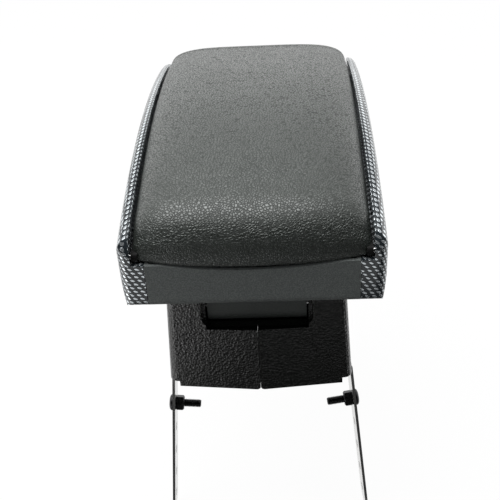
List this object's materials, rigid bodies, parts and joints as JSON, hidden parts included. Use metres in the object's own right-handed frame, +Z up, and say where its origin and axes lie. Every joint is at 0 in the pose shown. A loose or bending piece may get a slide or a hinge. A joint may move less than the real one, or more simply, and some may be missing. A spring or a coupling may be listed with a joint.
{
  "type": "car centre armrest",
  "caption": "Tilting car centre armrest with a padded lid over a storage bin, on a pedestal clamped by two steel straps.",
  "frame": {"origin": "centre of the underside of the steel base plate, between the straps", "axes": "+Z up, +Y to the front of the car, +X to the right seen from behind; the tilt and lid hinges lie along X"},
  "size_m": [0.165, 0.2902, 0.3318],
  "materials": {
    "leatherette": "pebbled black leatherette, low sheen",
    "carbon_look_trim": "glossy carbon-look plastic with a fine raised weave",
    "bin_plastic": "fine-textured dark grey moulded plastic",
    "tray_plastic": "plain black moulded plastic",
    "pedestal_plastic": "black moulded plastic with a fine spark texture",
    "rubber": "matt black rubber",
    "plated_strap": "bright zinc-plated steel strip",
    "black_bolt": "black oxide steel",
    "frame_steel": "zinc-plated sheet steel",
    "turned_steel": "turned steel",
    "zinc_screw": "zinc-plated screws and bolts",
    "spring_steel": "hard-drawn spring steel",
    "nylon": "natural nylon"
  },
  "bodies": {
    "pedestal": {"pedestal_left": "pedestal_plastic", "pedestal_right": "pedestal_plastic", "pedestal_screws": "zinc_screw", "rest_bumpers": "rubber", "base_plate": "frame_steel", "hinge_plate_left": "frame_steel", "hinge_plate_right": "frame_steel", "hinge_plate_bolts": "zinc_screw", "tilt_shaft": "turned_steel", "shaft_clips": "spring_steel", "spacer_washers": "nylon", "strap_left": "plated_strap", "strap_right": "plated_strap", "strap_flange_bolts": "zinc_screw", "clamp_bolt_left": "black_bolt", "clamp_bolt_right": "black_bolt", "clamp_nut_left": "black_bolt", "clamp_nut_right": "black_bolt"},
    "armrest": {"bin": "bin_plastic", "trim_left": "carbon_look_trim", "trim_right": "carbon_look_trim", "trim_screws": "zinc_screw", "neck_cover": "bin_plastic", "tilt_ear_left": "frame_steel", "tilt_ear_right": "frame_steel", "tilt_ear_screws": "zinc_screw", "lid_hinge_pins": "turned_steel"},
    "lid": {"lid_tray": "tray_plastic", "lid_pad": "leatherette", "lid_screws": "zinc_screw", "latch_pin": "turned_steel", "latch_spring": "spring_steel"},
    "latch": {"latch_lever": "tray_plastic"}
  },
  "joints": [
    {"name": "tilt", "type": "hinge", "parent": "pedestal", "child": "armrest", "pos_m": [0, -0.008, 0.064], "axis": [1, 0, 0], "range_deg": [0, 75]},
    {"name": "lid_hinge", "type": "hinge", "parent": "armrest", "child": "lid", "pos_m": [0, -0.0414, 0.1295], "axis": [1, 0, 0], "range_deg": [0, 85]},
    {"name": "latch_press", "type": "hinge", "parent": "lid", "child": "latch", "pos_m": [0, 0.2395, 0.09953], "axis": [1, 0, 0], "range_deg": [0, 20], "stiffness_Nm_per_rad": 0.03, "springref_deg": -11.46}
  ]
}
